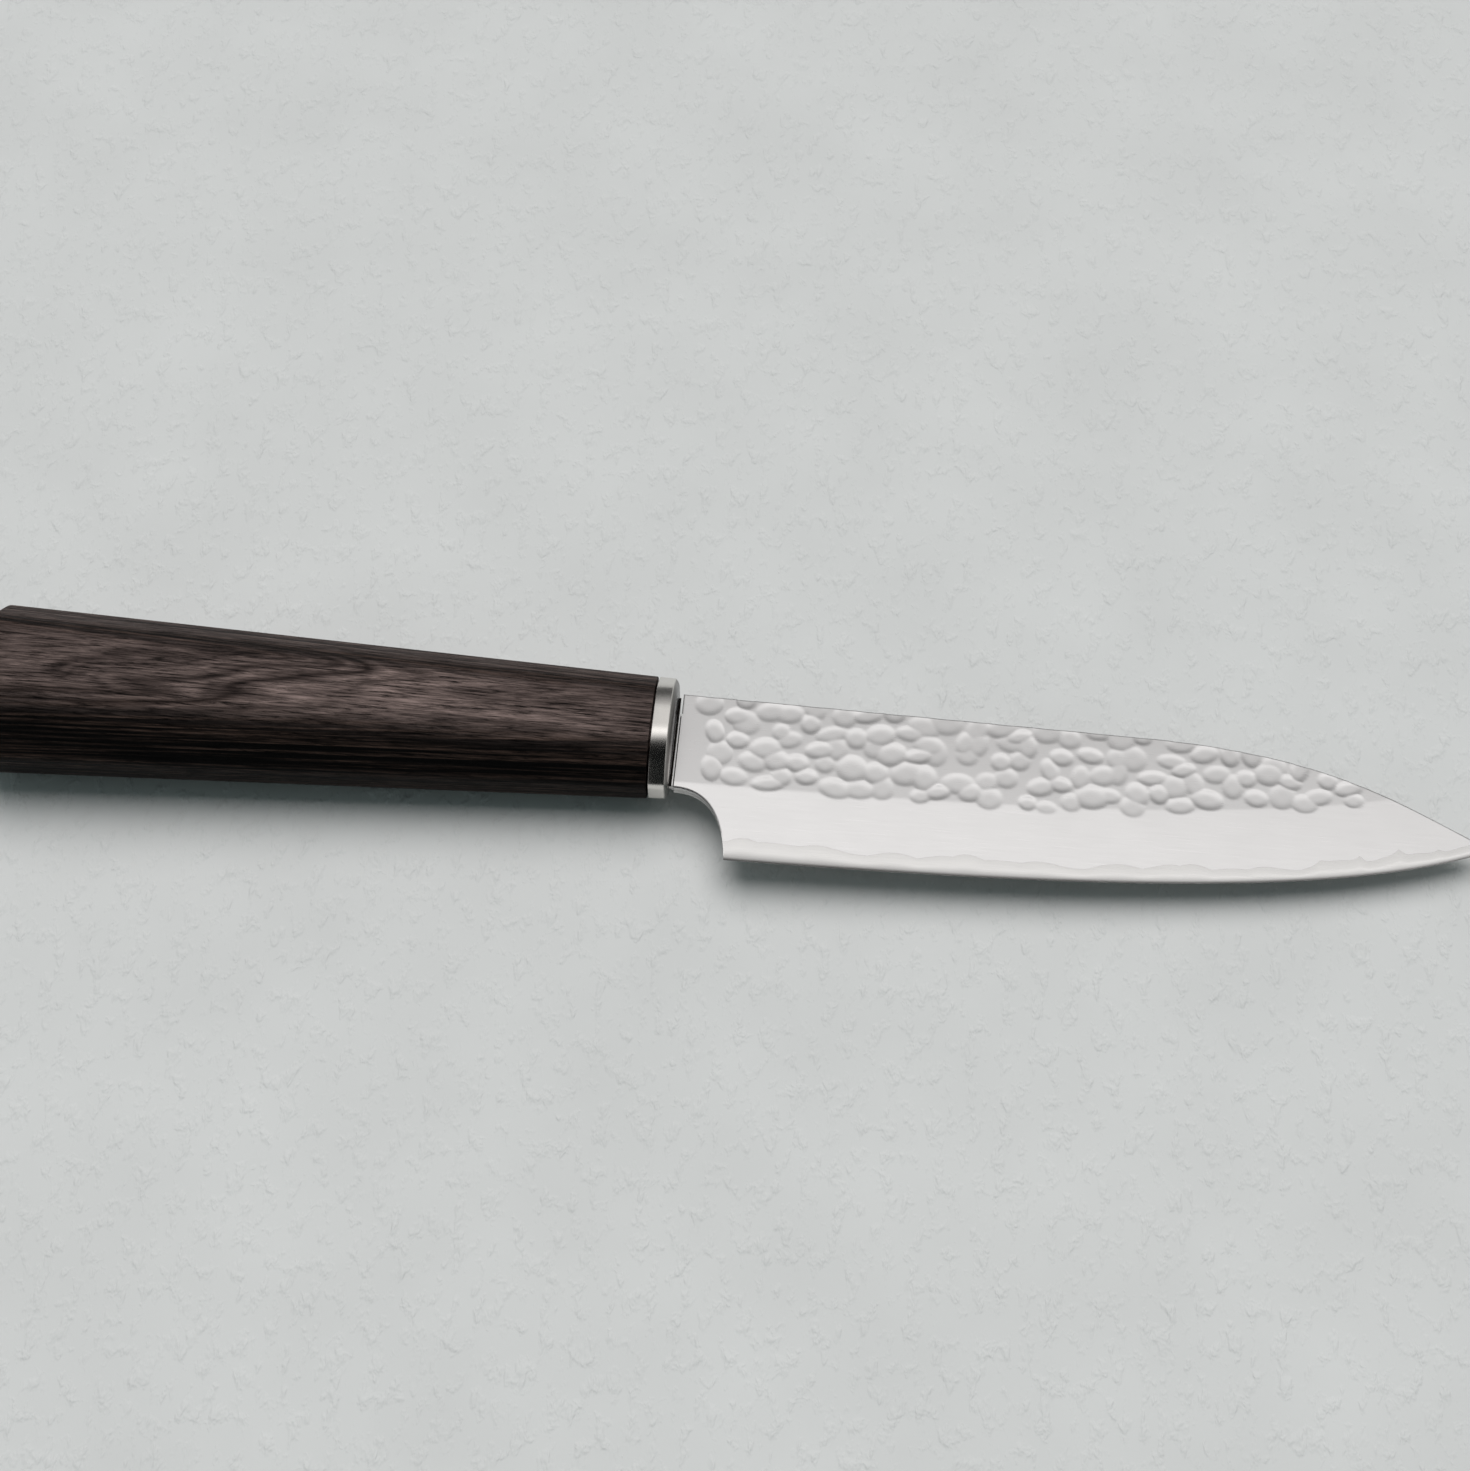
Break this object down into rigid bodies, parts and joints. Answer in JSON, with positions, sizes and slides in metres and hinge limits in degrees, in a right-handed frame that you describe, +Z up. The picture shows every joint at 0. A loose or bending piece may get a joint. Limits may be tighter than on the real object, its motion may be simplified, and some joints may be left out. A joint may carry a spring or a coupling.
{
  "type": "petty knife",
  "caption": "Small kitchen knife with a hammered three-layer blade, ground bevel, curved choil, narrow steel collar and tapered octagonal dark wood handle.",
  "frame": {"origin": "on the table under the middle of the knife's box, as it lies on its side", "axes": "+X towards the tip, +Y towards the spine, +Z up from the table"},
  "size_m": [0.2424, 0.0356, 0.0191],
  "materials": {
    "core_steel": "ground satin",
    "clad_steel": "hammered above, polished bevel below",
    "collar_steel": "polished with fine brushing round the band",
    "handle_wood": "dark laminated hardwood, satin",
    "adhesive": "cured resin, hidden"
  },
  "bodies": {
    "root": {"blade_core": "core_steel", "cladding_right": "clad_steel", "cladding_left": "clad_steel", "collar": "collar_steel", "handle": "handle_wood", "tang_adhesive": "adhesive"}
  },
  "joints": []
}
